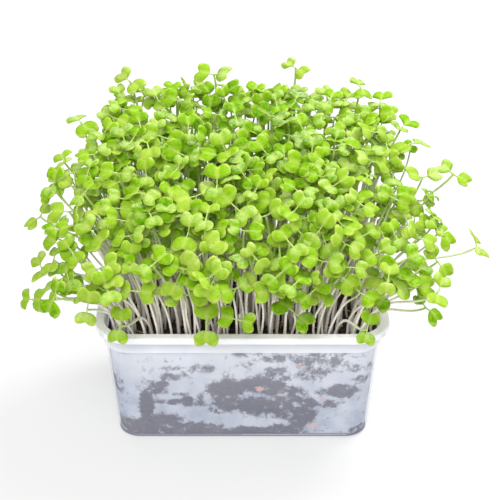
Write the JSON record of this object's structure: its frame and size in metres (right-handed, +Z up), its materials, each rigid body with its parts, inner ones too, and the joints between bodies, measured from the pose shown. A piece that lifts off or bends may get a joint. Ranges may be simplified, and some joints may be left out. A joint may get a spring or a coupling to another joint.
{
  "type": "microgreens tray",
  "caption": "See-through rectangular plastic tub filled with soil, with a dense stand of young sprouts, each with a pale stem and a pair of heart-shaped seed leaves.",
  "frame": {"origin": "centre of the tub's flat base, on the surface that it stands on", "axes": "+Z up, X along the tub's long side, Y along its short side with the front at -Y"},
  "size_m": [0.2832, 0.1756, 0.1961],
  "materials": {
    "tub_plastic": "milky, see-through polypropylene, smooth and softly glossy",
    "soil": "dark, moist, crumbly peat",
    "sprout": "thin bright yellow-green seed leaves, satin, on pale bare stems"
  },
  "bodies": {
    "root": {"tray": "tub_plastic", "soil": "soil", "clump_01": "sprout", "clump_02": "sprout", "clump_03": "sprout", "clump_04": "sprout", "clump_05": "sprout", "clump_06": "sprout", "clump_07": "sprout", "clump_08": "sprout", "clump_09": "sprout", "clump_10": "sprout", "clump_11": "sprout", "clump_12": "sprout", "clump_13": "sprout", "clump_14": "sprout", "clump_15": "sprout", "clump_16": "sprout", "clump_17": "sprout", "clump_18": "sprout", "clump_19": "sprout", "clump_20": "sprout", "clump_21": "sprout", "clump_22": "sprout", "clump_23": "sprout", "clump_24": "sprout", "clump_25": "sprout", "clump_26": "sprout", "clump_27": "sprout", "clump_28": "sprout", "clump_29": "sprout", "clump_30": "sprout", "clump_31": "sprout", "clump_32": "sprout", "clump_33": "sprout", "clump_34": "sprout", "clump_35": "sprout", "clump_36": "sprout", "clump_37": "sprout", "clump_38": "sprout", "clump_39": "sprout", "clump_40": "sprout", "clump_41": "sprout", "clump_42": "sprout", "clump_43": "sprout", "clump_44": "sprout", "clump_45": "sprout"}
  },
  "joints": []
}
